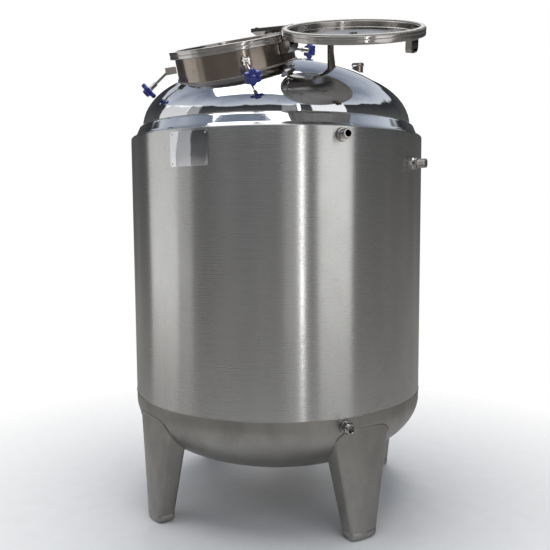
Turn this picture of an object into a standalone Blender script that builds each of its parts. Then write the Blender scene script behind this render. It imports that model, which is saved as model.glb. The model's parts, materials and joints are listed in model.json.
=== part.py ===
"""Bulk milk tank: an insulated upright vessel of about 1000 litres on four legs.

The polished dome carries a tilted manway whose lid lies open, four swing bolts with star
knobs, a covered seat for an agitator and a cleaning inlet. Metres, +Z up, floor at Z = 0.
An azimuth is in degrees, 0 at the front (-Y), positive towards +X.
"""

from math import acos, atan2, cos, pi, radians, sin, sqrt

import bmesh
import bpy
from mathutils import Matrix, Vector

# Where the tank's axis stands, so that the bounding box is centred on the origin
AXIS_X = 0.0
AXIS_Y = 0.0872

# Fits
GAP = 0.0003
RUNNING_GAP = 0.0006
RINGS = 36

# Shells
OUTER_RADIUS = 0.560
VESSEL_RADIUS = 0.515
SHEET = 0.003
CLADDING_BOTTOM = 0.4445
CLADDING_TOP = 1.412
EDGE_ROLL = 0.008
HEAD_SHEET = 0.004
DOME_BASE = 1.4525
DOME_HEIGHT = 0.257
DOME_STEPS = 7
VESSEL_BASE = 0.450
VESSEL_DISH = 0.235
DISH_BASE = 0.416
DISH_DEPTH = 0.257
DISH_STEPS = 6
HIDDEN_STEPS = 5
JACKET_BOTTOM = 0.500
JACKET_TOP = 0.950
JACKET_THICKNESS = 0.006
FOAM_INNER_RADIUS = 0.5225
FOAM_OUTER_RADIUS = 0.5555
FOAM_TOP = 1.395
DRAIN_CLEARANCE = 0.030
FOAM_CLEARANCE = 0.002

# Legs
LEG_AZIMUTHS = {"front_left": -57.1, "front_right": 32.9, "rear_right": 122.9, "rear_left": 212.9}
LEG_OUTER_RADIUS = 0.5585
LEG_TOP = 0.425
LEG_TOP_INNER_RADIUS = 0.448
LEG_TOP_WIDTH = 0.251
LEG_BOTTOM_INNER_RADIUS = 0.489
LEG_BOTTOM_WIDTH = 0.114
LEG_FLAT_SHARE = 0.70
LEG_SHEET = 0.004
FOOT_HEIGHT = 0.030
FOOT_ROUND = 0.014

# Manway, in its own frame: Z leaves the dome, -Y is the downhill side
MANWAY_AZIMUTH = -31.3
MANWAY_OFFSET = 0.275
NECK_RADIUS = 0.2127
NECK_SHEET = 0.004
NECK_TOP = 0.040
NECK_DEPTH = 0.110
RIM_RADIUS = 0.228
RIM_HEIGHT = 0.026
GASKET_HEIGHT = 0.004
GASKET_INNER_RADIUS = 0.2095
GASKET_OUTER_RADIUS = 0.2225
LID_RADIUS = 0.226
LID_BAND = 0.024
LID_BAND_WIDTH = 0.022
LID_SHEET = 0.004
LID_OPEN_ANGLE = 189.0
LID_SEAT = NECK_TOP + RIM_HEIGHT
LID_BOTTOM = LID_SEAT + 2 * GAP + GASKET_HEIGHT
LID_TOP = LID_BOTTOM + LID_BAND
EDGE_SOFT = 0.003

# Lid hinge
HINGE_LOCAL_ANGLE = 86.3
HINGE_RADIUS = 0.242
HINGE_HEIGHT = 0.080
HINGE_PIN_RADIUS = 0.005
KNUCKLE_RADIUS = 0.0110
ARM_WIDTH = 0.040
ARM_HEIGHT = 0.017
ARM_TAIL = 0.045
CHEEK_THICKNESS = 0.006
CHEEK_REACH = 0.2535
ARM_BOLT_RADIUS = 0.006

# Lid handle
HANDLE_DISTANCE = 0.200
HANDLE_WIDTH = 0.052
HANDLE_RISE = 0.042
HANDLE_STRAP = 0.005
HANDLE_DEPTH = 0.020
GRIP_RADIUS = 0.0095
GRIP_RISE = 0.019

# Swing bolts: angle from the hinge line, and how far below the rim's plane each one hangs
SWING_BOLTS = {"left": (-137.0, 33.0), "front": (-45.0, 28.0), "right": (70.0, 15.0), "rear": (155.0, 6.0)}
BOLT_PIVOT_RADIUS = 0.242
BOLT_PIVOT_HEIGHT = 0.005
ROD_RADIUS = 0.0045
ROD_LENGTH = 0.100
EYE_RADIUS = 0.010
EYE_THICKNESS = 0.011
LUG_PIN_RADIUS = 0.004
PIN_HEAD_RADIUS = 0.006
LUG_THICKNESS = 0.005
LUG_HEIGHT = 0.024
LUG_REACH = 0.253
SLEEVE_RADIUS = 0.0085
SLEEVE_START = 0.062
KNOB_START = 0.0903
KNOB_HEIGHT = 0.016
KNOB_HUB_HEIGHT = 0.011
KNOB_RADIUS = 0.031
KNOB_VALLEY = 0.0235
KNOB_HUB_RADIUS = 0.0135
KNOB_LOBES = 6
KNOB_POINTS = 3

# Fittings on the shell
SOCKET_BORE = 0.0105
SOCKET_RADIUS = 0.0166
SOCKET_COLLAR = 0.0215
SOCKET_REACH = 0.046
SOCKET_COLLAR_LENGTH = 0.012
SOCKET_SIDES = 20
UPPER_SOCKET = (22.0, 1.378)
SIDE_SOCKET = (61.0, 1.300)
LOWER_SOCKET = (23.5, 0.4175)
HEX_ACROSS = 0.040
HEX_LENGTH = 0.014
PLATE_AZIMUTH = -31.0
PLATE_SPAN = 16.0
PLATE_BOTTOM = 1.283
PLATE_HEIGHT = 0.115
PLATE_SHEET = 0.0015

# Fittings on the dome
INLET_X = 0.312
INLET_Y = -0.060
INLET_RADIUS = 0.0205
INLET_BORE = 0.0175
INLET_TOP = 1.6920
BALL_RADIUS = 0.026
BALL_DROP = 0.090
SEAT_X = 0.015
SEAT_Y = 0.140
SEAT_NECK_RADIUS = 0.055
SEAT_NECK_SHEET = 0.004
SEAT_TOP = 1.850
SEAT_PLATE = (0.190, 0.150, 0.014)
SEAT_TURN = -20.0
SEAT_BOLT_INSET = 0.018
SEAT_BOLT_RADIUS = 0.008
SEAT_BOLT_HEIGHT = 0.006
REST_X = 0.187
REST_Y = -0.345
REST_RADIUS = 0.011
REST_TOP = 1.7370
REST_TURN = 60.0
REST_GUSSET = 0.075

# Outlet under the vessel, turned to the rear between the back legs
OUTLET_AZIMUTH = 167.3
OUTLET_RADIUS = 0.019
OUTLET_BORE = 0.0165
OUTLET_HEIGHT = 0.130
OUTLET_BEND = 0.030
OUTLET_RUN = 0.395
OUTLET_TOP = 0.2142
VALVE_LENGTH = 0.046
VALVE_RADIUS = 0.034
VALVE_STEM_RADIUS = 0.005
VALVE_STEM_RISE = 0.058
VALVE_DISC_SHEET = 0.003
HANDLE_LEVER = 0.115


# ---------------------------------------------------------------- shapes

def polar(radius, azimuth, height=0.0):
    """Point at a radius and azimuth."""
    angle = radians(azimuth)
    return Vector((radius * sin(angle), -radius * cos(angle), height))


def mesh_from(bm):
    """Turn a bmesh into a mesh whose faces point out."""
    bmesh.ops.remove_doubles(bm, verts=bm.verts, dist=0.00001)
    bmesh.ops.dissolve_degenerate(bm, edges=bm.edges, dist=0.00001)
    bmesh.ops.recalc_face_normals(bm, faces=bm.faces)
    mesh = bpy.data.meshes.new("shape")
    bm.to_mesh(mesh)
    bm.free()
    return mesh


def turned(outline, segments=RINGS, closed=True):
    """Revolve an outline of (radius, height) points about Z."""
    bm = bmesh.new()
    verts = [bm.verts.new((radius, 0.0, height)) for radius, height in outline]
    edges = [bm.edges.new(pair) for pair in zip(verts, verts[1:])]
    if closed:
        edges.append(bm.edges.new((verts[-1], verts[0])))
    bmesh.ops.spin(bm, geom=verts + edges, cent=(0, 0, 0), axis=(0, 0, 1), angle=2 * pi, steps=segments,
                   use_merge=True)
    return mesh_from(bm)


def cylinder(radius, bottom, top, segments=16):
    """Plain round bar along Z."""
    return turned([(0, bottom), (radius, bottom), (radius, top), (0, top)], segments, closed=False)


def loft(loops):
    """Closed skin through loops of equal length, capped at both ends."""
    bm = bmesh.new()
    rings = [[bm.verts.new(point) for point in loop] for loop in loops]
    count = len(rings[0])
    for lower, upper in zip(rings, rings[1:]):
        for i in range(count):
            j = (i + 1) % count
            bm.faces.new((lower[i], lower[j], upper[j], upper[i]))
    bm.faces.new(list(reversed(rings[0])))
    bm.faces.new(rings[-1])
    return mesh_from(bm)


def tube_between(outer_loops, inner_loops):
    """Hollow skin: outer loops, inner loops and a flat ring at each end."""
    bm = bmesh.new()
    outer = [[bm.verts.new(point) for point in loop] for loop in outer_loops]
    inner = [[bm.verts.new(point) for point in loop] for loop in inner_loops]
    count = len(outer[0])
    pairs = list(zip(outer, outer[1:])) + list(zip(inner, inner[1:]))
    pairs += [(outer[0], inner[0]), (outer[-1], inner[-1])]
    for first, second in pairs:
        for i in range(count):
            j = (i + 1) % count
            bm.faces.new((first[i], first[j], second[j], second[i]))
    return mesh_from(bm)


def prism(outline, bottom, top):
    """Extrude an outline of (x, y) points along Z."""
    return loft([[(x, y, height) for x, y in outline] for height in (bottom, top)])


def block(low, high):
    """Box between two corners."""
    outline = [(low[0], low[1]), (high[0], low[1]), (high[0], high[1]), (low[0], high[1])]
    return prism(outline, low[2], high[2])


def arc(centre, radius, start, end, steps):
    """Points on an arc, angles in degrees."""
    points = []
    for i in range(steps + 1):
        angle = radians(start + (end - start) * i / steps)
        points.append((centre[0] + radius * cos(angle), centre[1] + radius * sin(angle)))
    return points


def moved(mesh, matrix):
    """The same mesh after a matrix."""
    mesh.transform(matrix)
    return mesh


def carve(mesh, tools, operation="DIFFERENCE"):
    """Cut the tools' meshes from a mesh, or unite them with it."""
    body = bpy.data.objects.new("body", mesh)
    bpy.context.collection.objects.link(body)
    cutters = []
    for tool in tools:
        cutter = bpy.data.objects.new("cutter", tool)
        bpy.context.collection.objects.link(cutter)
        modifier = body.modifiers.new("cut", "BOOLEAN")
        modifier.operation = operation
        modifier.solver = "EXACT"
        modifier.object = cutter
        cutters.append(cutter)
    depsgraph = bpy.context.evaluated_depsgraph_get()
    result = bpy.data.meshes.new_from_object(body.evaluated_get(depsgraph))
    for helper in [body] + cutters:
        bpy.data.objects.remove(helper)
    return result


def aim(point, direction):
    """Matrix that puts Z along a direction, at a point."""
    turn = Vector(direction).to_track_quat("Z", "Y").to_matrix().to_4x4()
    return Matrix.Translation(point) @ turn


# ---------------------------------------------------------------- objects

def finish(name, colour, roughness, metallic):
    """A material of the sub-part's own."""
    material = bpy.data.materials.new(name + "_finish")
    material.use_nodes = True
    shader = material.node_tree.nodes["Principled BSDF"]
    shader.inputs["Base Color"].default_value = (*colour, 1.0)
    shader.inputs["Roughness"].default_value = roughness
    shader.inputs["Metallic"].default_value = metallic
    return material


FINISHES = {
    "mirror": ((0.80, 0.81, 0.83), 0.06, 1.0),
    "brushed": ((0.56, 0.56, 0.56), 0.32, 1.0),
    "matte": ((0.45, 0.43, 0.41), 0.45, 1.0),
    "machined": ((0.70, 0.69, 0.67), 0.22, 1.0),
    "knob": ((0.03, 0.06, 0.42), 0.25, 0.0),
    "black": ((0.02, 0.02, 0.025), 0.4, 0.0),
    "rubber": ((0.75, 0.75, 0.72), 0.7, 0.0),
    "foam": ((0.80, 0.70, 0.45), 0.9, 0.0),
}


def place(name, mesh, style, parent, location=(0, 0, 0), rotation=(0, 0, 0)):
    """One named sub-part, under an empty."""
    obj = bpy.data.objects.new(name, mesh)
    bpy.context.collection.objects.link(obj)
    obj.parent = parent
    obj.location = location
    obj.rotation_euler = rotation
    mesh.shade_smooth()
    mesh.set_sharp_from_angle(angle=radians(35))
    mesh.materials.clear()
    mesh.materials.append(finish(name, *FINISHES[style]))
    return obj


def frame_empty(name, parent, location, rotation):
    """An empty that carries the pieces on one axis."""
    empty = bpy.data.objects.new(name, None)
    bpy.context.collection.objects.link(empty)
    empty.parent = parent
    empty.location = location
    empty.rotation_euler = rotation
    return empty


# ---------------------------------------------------------------- heads

def head_arc(radius, height, base, steps, upwards=True):
    """Quarter ellipse from the rim to the pole."""
    sign = 1 if upwards else -1
    points = []
    for i in range(steps + 1):
        angle = pi / 2 * i / steps
        points.append((radius * cos(angle), base + sign * height * sin(angle)))
    points[-1] = (0.0, points[-1][1])
    return points


def head_solid(radius, height, base, steps, upwards, skirt):
    """Filled head with a straight skirt, used as a cutter."""
    curve = head_arc(radius, height, base, steps, upwards)
    return turned([(0, skirt), (radius, skirt)] + curve, closed=False)


def head_shell(radius, height, base, steps, upwards, sheet, skirt):
    """Sheet metal head with a straight skirt."""
    outer = head_arc(radius, height, base, steps, upwards)
    inner = head_arc(radius - sheet, height - sheet, base, steps, upwards)
    rim = [(radius - sheet, skirt), (radius, skirt)]
    return turned(list(reversed(inner)) + rim + outer, closed=False)


def socket_bar(setting, radius, start, end):
    """Radial bar along one socket's axis."""
    azimuth, height = setting
    return moved(cylinder(radius, start, end, SOCKET_SIDES), aim(Vector((0, 0, height)), polar(1, azimuth)))


def add_shells(tank):
    """Cladding, heads, vessel wall, jacket and foam."""
    roll_top = CLADDING_TOP
    inside = OUTER_RADIUS - SHEET
    edge = OUTER_RADIUS - EDGE_ROLL
    outline = [(inside, CLADDING_BOTTOM), (OUTER_RADIUS, CLADDING_BOTTOM)]
    outline += arc((edge, roll_top - EDGE_ROLL), EDGE_ROLL, 0, 90, 3)
    outline += arc((edge, roll_top - EDGE_ROLL), EDGE_ROLL - SHEET, 90, 0, 3)
    holes = [socket_bar(spot, SOCKET_RADIUS + GAP, 0.50, 0.60) for spot in (UPPER_SOCKET, SIDE_SOCKET)]
    place("outer_shell", carve(turned(outline), holes), "brushed", tank)

    foot = edge - GAP
    crown = VESSEL_RADIUS + GAP
    slope = [(foot, roll_top - SHEET), (foot, roll_top), (crown + SHEET, DOME_BASE - GAP)]
    slope += [(crown, DOME_BASE - GAP), (crown, DOME_BASE - 2 * SHEET), (foot - SHEET, roll_top - SHEET)]
    place("shoulder_ring", turned(slope), "mirror", tank)

    dome = head_shell(VESSEL_RADIUS, DOME_HEIGHT, DOME_BASE + GAP, DOME_STEPS, True, HEAD_SHEET, DOME_BASE)
    place("top_head", carve(dome, dome_openings()), "mirror", tank)

    wall_inner = VESSEL_RADIUS - SHEET
    wall = [(wall_inner, VESSEL_BASE + GAP), (VESSEL_RADIUS, VESSEL_BASE + GAP),
            (VESSEL_RADIUS, DOME_BASE - GAP), (wall_inner, DOME_BASE - GAP)]
    place("inner_wall", turned(wall), "brushed", tank)

    base = head_shell(VESSEL_RADIUS, VESSEL_DISH, VESSEL_BASE - GAP, HIDDEN_STEPS, False, SHEET, VESSEL_BASE)
    drain = cylinder(OUTLET_BORE, 0.1, 0.3)
    place("inner_bottom_head", carve(base, [drain]), "brushed", tank)

    jacket_inner = VESSEL_RADIUS + GAP
    jacket_outer = jacket_inner + JACKET_THICKNESS
    jacket = [(jacket_inner, JACKET_BOTTOM), (jacket_outer, JACKET_BOTTOM + 0.01),
              (jacket_outer, JACKET_TOP - 0.01), (jacket_inner, JACKET_TOP)]
    place("cooling_jacket", turned(jacket), "brushed", tank)

    foam = [(FOAM_INNER_RADIUS, VESSEL_BASE), (FOAM_OUTER_RADIUS, VESSEL_BASE),
            (FOAM_OUTER_RADIUS, FOAM_TOP), (FOAM_INNER_RADIUS, FOAM_TOP)]
    bores = [socket_bar(spot, SOCKET_RADIUS + FOAM_CLEARANCE, 0.50, 0.60)
             for spot in (UPPER_SOCKET, SIDE_SOCKET)]
    place("wall_insulation", carve(turned(foam), bores), "foam", tank)

    upper = head_arc(VESSEL_RADIUS + 0.001, VESSEL_DISH + 0.001, VESSEL_BASE - 0.002, HIDDEN_STEPS, False)
    lower = head_arc(OUTER_RADIUS - SHEET - 0.001, DISH_DEPTH - SHEET - 0.001, DISH_BASE, DISH_STEPS, False)
    pad = turned(list(reversed(upper)) + [(OUTER_RADIUS - SHEET - 0.001, VESSEL_BASE - 0.002)] + lower,
                 closed=False)
    well = cylinder(DRAIN_CLEARANCE, 0.1, 0.3, 24)
    pocket = socket_bar(LOWER_SOCKET, SOCKET_RADIUS + FOAM_CLEARANCE, 0.50, 0.60)
    place("base_insulation", carve(pad, [well, pocket]), "foam", tank)

    dish = head_shell(OUTER_RADIUS, DISH_DEPTH, DISH_BASE, DISH_STEPS, False, SHEET,
                      CLADDING_BOTTOM - GAP)
    tap = cylinder(OUTLET_RADIUS + 2 * RUNNING_GAP, 0.1, 0.2, 24)
    hole = socket_bar(LOWER_SOCKET, SOCKET_RADIUS + GAP, 0.50, 0.60)
    place("outer_bottom_head", carve(dish, [tap, hole]), "matte", tank)


# ---------------------------------------------------------------- legs

def leg_outline(inner_radius, width, height, inset=0.0):
    """D-shaped section: flat back and sides, and a half-round face to the outside."""
    depth = LEG_OUTER_RADIUS - inner_radius
    flat_end = inner_radius + depth * LEG_FLAT_SHARE
    half = width / 2 - inset
    reach = LEG_OUTER_RADIUS - inset - flat_end
    points = [(half, -(inner_radius + inset), height), (half, -flat_end, height)]
    steps = 6
    for i in range(1, steps):
        angle = pi * i / steps
        points.append((half * cos(angle), -flat_end - reach * sin(angle), height))
    points += [(-half, -flat_end, height), (-half, -(inner_radius + inset), height)]
    return points


def leg_size(height):
    """Inner radius and width of the tapered leg at a height."""
    share = (height - FOOT_HEIGHT) / (LEG_TOP - FOOT_HEIGHT)
    inner = LEG_BOTTOM_INNER_RADIUS + (LEG_TOP_INNER_RADIUS - LEG_BOTTOM_INNER_RADIUS) * share
    width = LEG_BOTTOM_WIDTH + (LEG_TOP_WIDTH - LEG_BOTTOM_WIDTH) * share
    return inner, width


def add_legs(tank):
    """Four folded sheet legs, each closed by a foot."""
    low = leg_size(FOOT_HEIGHT + GAP)
    high = leg_size(LEG_TOP)
    for name, azimuth in LEG_AZIMUTHS.items():
        outer = [leg_outline(*low, FOOT_HEIGHT + GAP), leg_outline(*high, LEG_TOP)]
        inner = [leg_outline(*low, FOOT_HEIGHT + GAP, LEG_SHEET), leg_outline(*high, LEG_TOP, LEG_SHEET)]
        turn = Matrix.Rotation(radians(azimuth), 4, "Z")
        sheet = moved(tube_between(outer, inner), turn)
        scribe = head_solid(OUTER_RADIUS + GAP, DISH_DEPTH + GAP, DISH_BASE, DISH_STEPS, False, 0.5)
        notch = socket_bar(LOWER_SOCKET, SOCKET_COLLAR + FOAM_CLEARANCE, 0.50, 0.60)
        place("leg_" + name, carve(sheet, [scribe, notch]), "matte", tank)

        size = leg_size(FOOT_HEIGHT)
        loops = [leg_outline(*size, 0.0, FOOT_ROUND), leg_outline(*size, FOOT_ROUND * 0.3, FOOT_ROUND * 0.5),
                 leg_outline(*size, FOOT_ROUND, FOOT_ROUND * 0.12), leg_outline(*size, FOOT_HEIGHT)]
        place("foot_" + name, moved(loft(loops), turn), "matte", tank)


# ---------------------------------------------------------------- manway

def dome_height(offset):
    """Height of the dome's skin at a distance from the axis."""
    return DOME_BASE + GAP + DOME_HEIGHT * sqrt(1 - (offset / VESSEL_RADIUS) ** 2)


def dome_normal(x, y):
    """Direction that leaves the dome at a point."""
    height = dome_height(sqrt(x * x + y * y)) - DOME_BASE - GAP
    normal = Vector((x / VESSEL_RADIUS ** 2, y / VESSEL_RADIUS ** 2, height / DOME_HEIGHT ** 2))
    return normal.normalized()


def manway_frame():
    """Place of the manway's own frame on the dome."""
    point = polar(MANWAY_OFFSET, MANWAY_AZIMUTH, dome_height(MANWAY_OFFSET))
    tilt = acos(dome_normal(point.x, point.y).z)
    return point, (tilt, 0.0, radians(MANWAY_AZIMUTH))


def manway_matrix():
    """The manway's frame as a matrix in the tank's frame."""
    point, (tilt, _, turn) = manway_frame()
    return Matrix.Translation(point) @ Matrix.Rotation(turn, 4, "Z") @ Matrix.Rotation(tilt, 4, "X")


def dome_openings():
    """Cutters for the holes in the dome."""
    manhole = moved(cylinder(NECK_RADIUS - NECK_SHEET, -0.2, 0.2, RINGS), manway_matrix())
    inlet = moved(cylinder(INLET_BORE, 1.5, 1.8), Matrix.Translation((INLET_X, INLET_Y, 0)))
    seat = moved(cylinder(SEAT_NECK_RADIUS - SEAT_NECK_SHEET, 1.5, 1.8, 24),
                 Matrix.Translation((SEAT_X, SEAT_Y, 0)))
    return [manhole, inlet, seat]


def dome_block():
    """The dome filled solid, a hair larger, for trimming what stands on it."""
    return head_solid(VESSEL_RADIUS + GAP, DOME_HEIGHT + GAP, DOME_BASE + GAP, DOME_STEPS, True, 1.2)


def add_manway(tank, manway):
    """Neck, rim and hinge bracket, which stay with the tank."""
    bore = NECK_RADIUS - NECK_SHEET
    neck = turned([(bore, -NECK_DEPTH), (NECK_RADIUS, -NECK_DEPTH), (NECK_RADIUS, NECK_TOP - GAP),
                   (bore, NECK_TOP - GAP)])
    trim = moved(dome_block(), manway_matrix().inverted())
    place("manway_neck", carve(neck, [trim]), "brushed", manway)

    soft = EDGE_SOFT
    rim = [(bore, NECK_TOP), (RIM_RADIUS - soft, NECK_TOP), (RIM_RADIUS, NECK_TOP + soft),
           (RIM_RADIUS, LID_SEAT - soft), (RIM_RADIUS - soft, LID_SEAT), (bore, LID_SEAT)]
    place("manway_rim", turned(rim), "brushed", manway)

    # The bracket's side outline: x from the neck outwards, y up
    foot = NECK_RADIUS + RUNNING_GAP
    face = RIM_RADIUS + RUNNING_GAP
    half = ARM_WIDTH / 2 + RUNNING_GAP
    side = [(foot, 0.004), (CHEEK_REACH - 0.012, 0.004), (CHEEK_REACH, 0.020)]
    side += arc((HINGE_RADIUS, HINGE_HEIGHT), CHEEK_REACH - HINGE_RADIUS, 0, 150, 5)
    side += [(face, NECK_TOP - RUNNING_GAP), (foot, NECK_TOP - RUNNING_GAP)]
    cheeks = prism(side, -half - CHEEK_THICKNESS, half + CHEEK_THICKNESS)
    slot = block((0.20, NECK_TOP - RIM_HEIGHT / 2, -half), (0.30, HINGE_HEIGHT + 0.03, half))
    pin_hole = moved(cylinder(HINGE_PIN_RADIUS + GAP, -0.1, 0.1),
                     Matrix.Translation((HINGE_RADIUS, HINGE_HEIGHT, 0)))
    bracket = carve(cheeks, [slot, pin_hole])
    stand = Matrix.Rotation(pi / 2, 4, "X")
    turn = (0, 0, radians(HINGE_LOCAL_ANGLE - 90))
    place("hinge_bracket", moved(bracket, stand), "machined", manway, (0, 0, 0), turn)


def add_lid(manway):
    """The lid and all that turns with it about the hinge pin.

    The lid is drawn closed, in the manway's frame with +X towards the hinge, and is then
    carried by an empty on the pin that holds it open.
    """
    direction = polar(HINGE_RADIUS, HINGE_LOCAL_ANGLE, HINGE_HEIGHT)
    base = frame_empty("lid_hinge_axis", manway, direction, (0, 0, radians(HINGE_LOCAL_ANGLE - 90)))
    lid = frame_empty("lid_carrier", base, (0, 0, 0), (0, radians(LID_OPEN_ANGLE), 0))
    home = Matrix.Translation((-HINGE_RADIUS, 0, -HINGE_HEIGHT))

    soft = EDGE_SOFT
    band_inner = LID_RADIUS - LID_BAND_WIDTH
    plate = LID_TOP - LID_SHEET
    outline = [(0, LID_TOP), (LID_RADIUS - soft, LID_TOP), (LID_RADIUS, LID_TOP - soft),
               (LID_RADIUS, LID_BOTTOM + soft), (LID_RADIUS - soft, LID_BOTTOM),
               (band_inner, LID_BOTTOM), (band_inner, plate), (0, plate)]
    bolt_hole = cylinder(ARM_BOLT_RADIUS + GAP, 0.0, 0.2)
    cover = carve(turned(outline, closed=False), [bolt_hole])
    place("manway_lid", moved(cover, home), "brushed", lid)

    seal = turned([(GASKET_INNER_RADIUS, LID_SEAT + GAP), (GASKET_OUTER_RADIUS, LID_SEAT + GAP),
                   (GASKET_OUTER_RADIUS, LID_BOTTOM - GAP), (GASKET_INNER_RADIUS, LID_BOTTOM - GAP)])
    place("lid_gasket", moved(seal, home), "rubber", lid)

    # The arm's side outline: a flat bar over the lid that drops past its edge to the knuckle
    bottom = LID_TOP + GAP
    soft = EDGE_SOFT
    side = [(-ARM_TAIL, bottom + soft), (-ARM_TAIL + soft, bottom), (HINGE_RADIUS - KNUCKLE_RADIUS, bottom)]
    side += arc((HINGE_RADIUS, HINGE_HEIGHT), KNUCKLE_RADIUS, 180, 380, 8)
    side += [(HINGE_RADIUS - 2 * soft, bottom + ARM_HEIGHT), (-ARM_TAIL + 2 * soft, bottom + ARM_HEIGHT),
             (-ARM_TAIL, bottom + ARM_HEIGHT - 2 * soft)]
    bar = prism(side, -ARM_WIDTH / 2, ARM_WIDTH / 2)
    eye = moved(cylinder(HINGE_PIN_RADIUS + GAP, -0.1, 0.1),
                Matrix.Translation((HINGE_RADIUS, HINGE_HEIGHT, 0)))
    stand = Matrix.Rotation(pi / 2, 4, "X")
    upright_hole = cylinder(ARM_BOLT_RADIUS + GAP, 0.0, 0.2)
    arm = carve(moved(carve(bar, [eye]), stand), [upright_hole])
    place("hinge_arm", moved(arm, home), "machined", lid)

    head_bottom = bottom + ARM_HEIGHT + GAP
    bolt = [(0, head_bottom + 0.008), (0.009, head_bottom + 0.008), (0.011, head_bottom + 0.006),
            (0.011, head_bottom), (ARM_BOLT_RADIUS, head_bottom), (ARM_BOLT_RADIUS, plate - GAP),
            (0.012, plate - GAP), (0.012, plate - 0.008), (0, plate - 0.008)]
    place("arm_bolt", moved(turned(bolt, 12, closed=False), home), "machined", lid)

    pin_half = ARM_WIDTH / 2 + RUNNING_GAP + CHEEK_THICKNESS
    pin = [(0, -pin_half - 0.005), (0.008, -pin_half - 0.005), (0.008, -pin_half - GAP),
           (HINGE_PIN_RADIUS, -pin_half - GAP), (HINGE_PIN_RADIUS, pin_half + GAP), (0.008, pin_half + GAP),
           (0.008, pin_half + 0.005), (0, pin_half + 0.005)]
    axle = moved(turned(pin, 16, closed=False), stand)
    place("hinge_pin", axle, "machined", base)

    add_lid_handle(lid, home)


def add_lid_handle(lid, home):
    """U-shaped strap on the far side of the lid, with a round grip between its legs."""
    half = HANDLE_WIDTH / 2
    foot = LID_TOP + GAP
    top = foot + HANDLE_RISE
    strap = [(-half, foot), (-half + HANDLE_STRAP, foot)]
    strap += arc((-half + HANDLE_STRAP + 0.008, top - 0.008 - HANDLE_STRAP), 0.008, 180, 90, 3)
    strap += arc((half - HANDLE_STRAP - 0.008, top - 0.008 - HANDLE_STRAP), 0.008, 90, 0, 3)
    strap += [(half - HANDLE_STRAP, foot), (half, foot)]
    strap += arc((half - 0.013, top - 0.013), 0.013, 0, 90, 3)
    strap += arc((-half + 0.013, top - 0.013), 0.013, 90, 180, 3)
    stand = Matrix.Translation((-HANDLE_DISTANCE, 0, 0)) @ Matrix.Rotation(pi / 2, 4, "Z") \
        @ Matrix.Rotation(pi / 2, 4, "X")
    bow = moved(prism(strap, -HANDLE_DEPTH / 2, HANDLE_DEPTH / 2), stand)
    place("handle_strap", moved(bow, home), "machined", lid)

    inside = half - HANDLE_STRAP - GAP
    height = foot + GRIP_RISE
    grip = [(0, -inside), (GRIP_RADIUS * 0.8, -inside), (GRIP_RADIUS, -inside + 0.004),
            (GRIP_RADIUS, inside - 0.004), (GRIP_RADIUS * 0.8, inside), (0, inside)]
    across = Matrix.Translation((-HANDLE_DISTANCE, 0, height)) @ Matrix.Rotation(pi / 2, 4, "X")
    place("handle_grip", moved(moved(turned(grip, 14, closed=False), across), home), "black", lid)


# ---------------------------------------------------------------- swing bolts

def lug_mesh():
    """Fork welded to the neck; +X points outwards, its pin lies along Y at X = 0."""
    root = NECK_RADIUS + RUNNING_GAP + 0.0010 - BOLT_PIVOT_RADIUS
    tip = LUG_REACH - BOLT_PIVOT_RADIUS
    inner = EYE_THICKNESS / 2 + RUNNING_GAP
    outer = inner + LUG_THICKNESS
    throat = root + 0.006
    outline = [(root, -outer), (tip, -outer), (tip, -inner), (throat, -inner), (throat, inner),
               (tip, inner), (tip, outer), (root, outer)]
    fork = prism(outline, -LUG_HEIGHT / 2, LUG_HEIGHT / 2)
    hole = moved(cylinder(LUG_PIN_RADIUS + GAP, -0.1, 0.1, 12), Matrix.Rotation(pi / 2, 4, "X"))
    return carve(fork, [hole])


def pin_mesh():
    """Pin of one swing bolt, along Y."""
    half = EYE_THICKNESS / 2 + RUNNING_GAP + LUG_THICKNESS
    head = 0.003
    outline = [(0, -half - head), (PIN_HEAD_RADIUS, -half - head), (PIN_HEAD_RADIUS, -half - GAP),
               (LUG_PIN_RADIUS, -half - GAP), (LUG_PIN_RADIUS, half + GAP), (PIN_HEAD_RADIUS, half + GAP),
               (PIN_HEAD_RADIUS, half + head), (0, half + head)]
    return moved(turned(outline, 12, closed=False), Matrix.Rotation(pi / 2, 4, "X"))


def eye_bolt_mesh():
    """Rod along Z with a flat eye about Y at its foot."""
    across = Matrix.Rotation(pi / 2, 4, "X")
    rod = cylinder(ROD_RADIUS, EYE_RADIUS * 0.5, ROD_LENGTH, 12)
    eye = moved(cylinder(EYE_RADIUS, -EYE_THICKNESS / 2, EYE_THICKNESS / 2, 20), across)
    hole = moved(cylinder(LUG_PIN_RADIUS + GAP, -0.1, 0.1, 12), across)
    return carve(carve(eye, [rod], "UNION"), [hole])


def sleeve_mesh():
    """Threaded steel sleeve of one knob, round the rod."""
    bore = ROD_RADIUS + GAP
    end = KNOB_START - GAP
    return turned([(bore, SLEEVE_START), (SLEEVE_RADIUS - 0.001, SLEEVE_START),
                   (SLEEVE_RADIUS, SLEEVE_START + 0.001), (SLEEVE_RADIUS, end), (bore, end)], 16)


def star(radius_scale, height):
    """Lobed outline of a knob at a height."""
    points = []
    count = KNOB_LOBES * KNOB_POINTS * 2
    middle = (KNOB_RADIUS + KNOB_VALLEY) / 2
    swing = (KNOB_RADIUS - KNOB_VALLEY) / 2
    for i in range(count):
        angle = 2 * pi * i / count
        radius = (middle + swing * cos(KNOB_LOBES * angle)) * radius_scale
        points.append((radius * cos(angle), radius * sin(angle), height))
    return points


def ring_points(radius, height, count):
    """Round outline at a height."""
    angles = [2 * pi * i / count for i in range(count)]
    return [(radius * cos(angle), radius * sin(angle), height) for angle in angles]


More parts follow.
